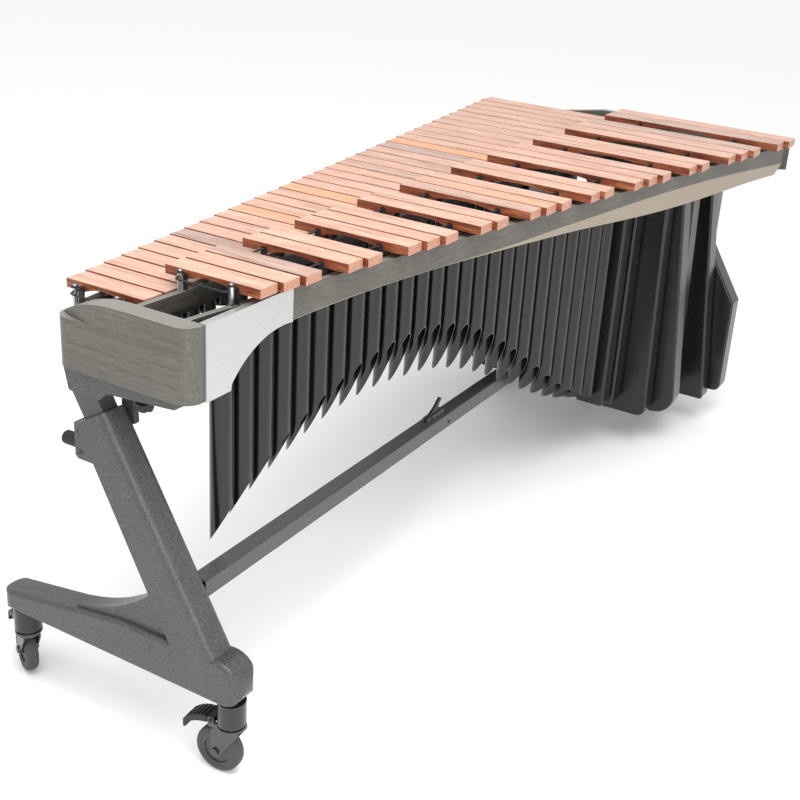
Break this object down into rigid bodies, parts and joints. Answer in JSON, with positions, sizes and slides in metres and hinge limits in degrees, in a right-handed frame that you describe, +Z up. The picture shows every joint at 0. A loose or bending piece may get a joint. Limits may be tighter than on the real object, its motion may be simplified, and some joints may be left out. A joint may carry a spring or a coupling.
{
  "type": "marimba",
  "caption": "Concert marimba with rosewood bars in two rows, graded tube and box resonators, wooden rails and end blocks, and a height-adjustable cast frame on braked swivel casters.",
  "frame": {"origin": "on the floor, under the middle of the whole instrument's outer box", "axes": "+X from the treble (small) end to the bass end, +Y from the audience side to the player's side, +Z up"},
  "size_m": [2.5101, 1.1046, 0.9875],
  "materials": {
    "rosewood": "oiled, planed",
    "frame_oak": "stained oak veneer, satin lacquer",
    "rail_grey": "stained, satin",
    "cord_nylon": "braided nylon, black",
    "post_plastic": "moulded",
    "post_metal": "turned",
    "plate_aluminium": "brushed, anodised",
    "resonator_paint": "satin charcoal paint on aluminium tube",
    "box_paint": "satin black paint on aluminium sheet",
    "leg_powder_coat": "cast aluminium under metallic grey powder coat",
    "tube_steel": "dark anodised flat bar",
    "knob_plastic": "moulded, fine texture",
    "fork_metal": "zinc plated",
    "hub_plastic": "moulded",
    "tyre_rubber": "grey, non-marking",
    "pedal_plastic": "ribbed",
    "hook_steel": "painted"
  },
  "bodies": {
    "base": {"treble_leg_outer_half": "leg_powder_coat", "treble_leg_inner_half": "leg_powder_coat", "bass_leg_outer_half": "leg_powder_coat", "bass_leg_inner_half": "leg_powder_coat", "treble_clamp_block": "leg_powder_coat", "bass_clamp_block": "leg_powder_coat", "crossbar_treble_half": "leg_powder_coat", "crossbar_bass_half": "leg_powder_coat", "caster_housings": "leg_powder_coat"},
    "top_frame": {"treble_end_block": "frame_oak", "bass_end_block": "frame_oak", "corner_plate": "plate_aluminium", "audience_rail_treble": "frame_oak", "audience_rail_bass": "frame_oak", "player_rail": "rail_grey", "natural_post_rails": "rail_grey", "accidental_post_rails": "rail_grey", "natural_cord_posts": "post_plastic", "accidental_cord_posts": "post_plastic", "cord_end_posts": "post_metal", "natural_cord": "cord_nylon", "accidental_cord": "cord_nylon", "natural_bars_octave_1": "rosewood", "natural_bars_octave_2": "rosewood", "natural_bars_octave_3": "rosewood", "natural_bars_octave_4": "rosewood", "natural_bars_octave_5": "rosewood", "accidental_bars_octave_1": "rosewood", "accidental_bars_octave_2": "rosewood", "accidental_bars_octave_3": "rosewood", "accidental_bars_octave_4": "rosewood", "accidental_bars_octave_5": "rosewood", "accidental_resonator_tubes": "resonator_paint", "accidental_resonator_boxes": "box_paint", "natural_resonator_tubes": "resonator_paint", "natural_resonator_boxes": "box_paint", "resonator_rails": "tube_steel", "treble_upper_leg": "leg_powder_coat", "bass_upper_leg": "leg_powder_coat"},
    "crossbar_hook": {"crossbar_hook": "hook_steel"},
    "treble_height_knob": {"treble_height_knob": "knob_plastic"},
    "treble_frame_knob": {"treble_frame_knob": "knob_plastic"},
    "bass_height_knob": {"bass_height_knob": "knob_plastic"},
    "bass_frame_knob": {"bass_frame_knob": "knob_plastic"},
    "treble_front_fork": {"treble_front_fork": "fork_metal"},
    "treble_front_wheel": {"treble_front_hub": "hub_plastic", "treble_front_tyre": "tyre_rubber"},
    "treble_front_brake_pedal": {"treble_front_brake_pedal": "pedal_plastic"},
    "treble_rear_fork": {"treble_rear_fork": "fork_metal"},
    "treble_rear_wheel": {"treble_rear_hub": "hub_plastic", "treble_rear_tyre": "tyre_rubber"},
    "treble_rear_brake_pedal": {"treble_rear_brake_pedal": "pedal_plastic"},
    "bass_front_fork": {"bass_front_fork": "fork_metal"},
    "bass_front_wheel": {"bass_front_hub": "hub_plastic", "bass_front_tyre": "tyre_rubber"},
    "bass_front_brake_pedal": {"bass_front_brake_pedal": "pedal_plastic"},
    "bass_rear_fork": {"bass_rear_fork": "fork_metal"},
    "bass_rear_wheel": {"bass_rear_hub": "hub_plastic", "bass_rear_tyre": "tyre_rubber"},
    "bass_rear_brake_pedal": {"bass_rear_brake_pedal": "pedal_plastic"}
  },
  "joints": [
    {"name": "height_adjust", "type": "slide", "parent": "base", "child": "top_frame", "axis": [0, 0.5, 0.866], "range_m": [-0.02, 0.07]},
    {"name": "crossbar_hook_turn", "type": "hinge", "parent": "base", "child": "crossbar_hook", "pos_m": [-0.2807, -0.0785, 0.4045], "axis": [0, 1, 0], "range_deg": [-60, 0]},
    {"name": "treble_height_knob_turn", "type": "hinge", "parent": "base", "child": "treble_height_knob", "pos_m": [-1.2097, 0.1965, 0.6275], "axis": [0, 1, 0], "range_deg": [0, 360]},
    {"name": "treble_frame_knob_turn", "type": "hinge", "parent": "top_frame", "child": "treble_frame_knob", "pos_m": [-1.2097, 0.0155, 0.7535], "axis": [0, 0, 1], "range_deg": [0, 360]},
    {"name": "bass_height_knob_turn", "type": "hinge", "parent": "base", "child": "bass_height_knob", "pos_m": [1.2097, 0.1965, 0.6275], "axis": [0, 1, 0], "range_deg": [0, 360]},
    {"name": "bass_frame_knob_turn", "type": "hinge", "parent": "top_frame", "child": "bass_frame_knob", "pos_m": [1.2097, 0.0155, 0.7535], "axis": [0, 0, 1], "range_deg": [0, 360]},
    {"name": "treble_front_swivel", "type": "hinge", "parent": "base", "child": "treble_front_fork", "pos_m": [-1.2097, -0.1895, 0.12], "axis": [0, 0, 1], "continuous": true},
    {"name": "treble_front_wheel_spin", "type": "hinge", "parent": "treble_front_fork", "child": "treble_front_wheel", "pos_m": [-1.21162, -0.16207, 0.0515], "axis": [0.9976, 0.0698, 0], "continuous": true},
    {"name": "treble_front_brake_pedal_tilt", "type": "hinge", "parent": "treble_front_fork", "child": "treble_front_brake_pedal", "pos_m": [-1.21235, -0.15159, 0.124], "axis": [0.9976, 0.0698, 0], "range_deg": [-14, 8]},
    {"name": "treble_rear_swivel", "type": "hinge", "parent": "base", "child": "treble_rear_fork", "pos_m": [-1.2097, 0.3665, 0.12], "axis": [0, 0, 1], "continuous": true},
    {"name": "treble_rear_wheel_spin", "type": "hinge", "parent": "treble_rear_fork", "child": "treble_rear_wheel", "pos_m": [-1.19679, 0.39078, 0.0515], "axis": [0.8829, -0.4695, 0], "continuous": true},
    {"name": "treble_rear_brake_pedal_tilt", "type": "hinge", "parent": "treble_rear_fork", "child": "treble_rear_brake_pedal", "pos_m": [-1.19186, 0.40005, 0.124], "axis": [0.8829, -0.4695, 0], "range_deg": [-14, 8]},
    {"name": "bass_front_swivel", "type": "hinge", "parent": "base", "child": "bass_front_fork", "pos_m": [1.2097, -0.1895, 0.12], "axis": [0, 0, 1], "continuous": true},
    {"name": "bass_front_wheel_spin", "type": "hinge", "parent": "bass_front_fork", "child": "bass_front_wheel", "pos_m": [1.20029, -0.16366, 0.0515], "axis": [0.9397, 0.342, 0], "continuous": true},
    {"name": "bass_front_brake_pedal_tilt", "type": "hinge", "parent": "bass_front_fork", "child": "bass_front_brake_pedal", "pos_m": [1.1967, -0.15379, 0.124], "axis": [0.9397, 0.342, 0], "range_deg": [-14, 8]},
    {"name": "bass_rear_swivel", "type": "hinge", "parent": "base", "child": "bass_rear_fork", "pos_m": [1.2097, 0.3665, 0.12], "axis": [0, 0, 1], "continuous": true},
    {"name": "bass_rear_wheel_spin", "type": "hinge", "parent": "bass_rear_fork", "child": "bass_rear_wheel", "pos_m": [1.19202, 0.38757, 0.0515], "axis": [0.766, 0.6428, 0], "continuous": true},
    {"name": "bass_rear_brake_pedal_tilt", "type": "hinge", "parent": "bass_rear_fork", "child": "bass_rear_brake_pedal", "pos_m": [1.18527, 0.39561, 0.124], "axis": [0.766, 0.6428, 0], "range_deg": [-14, 8]}
  ]
}
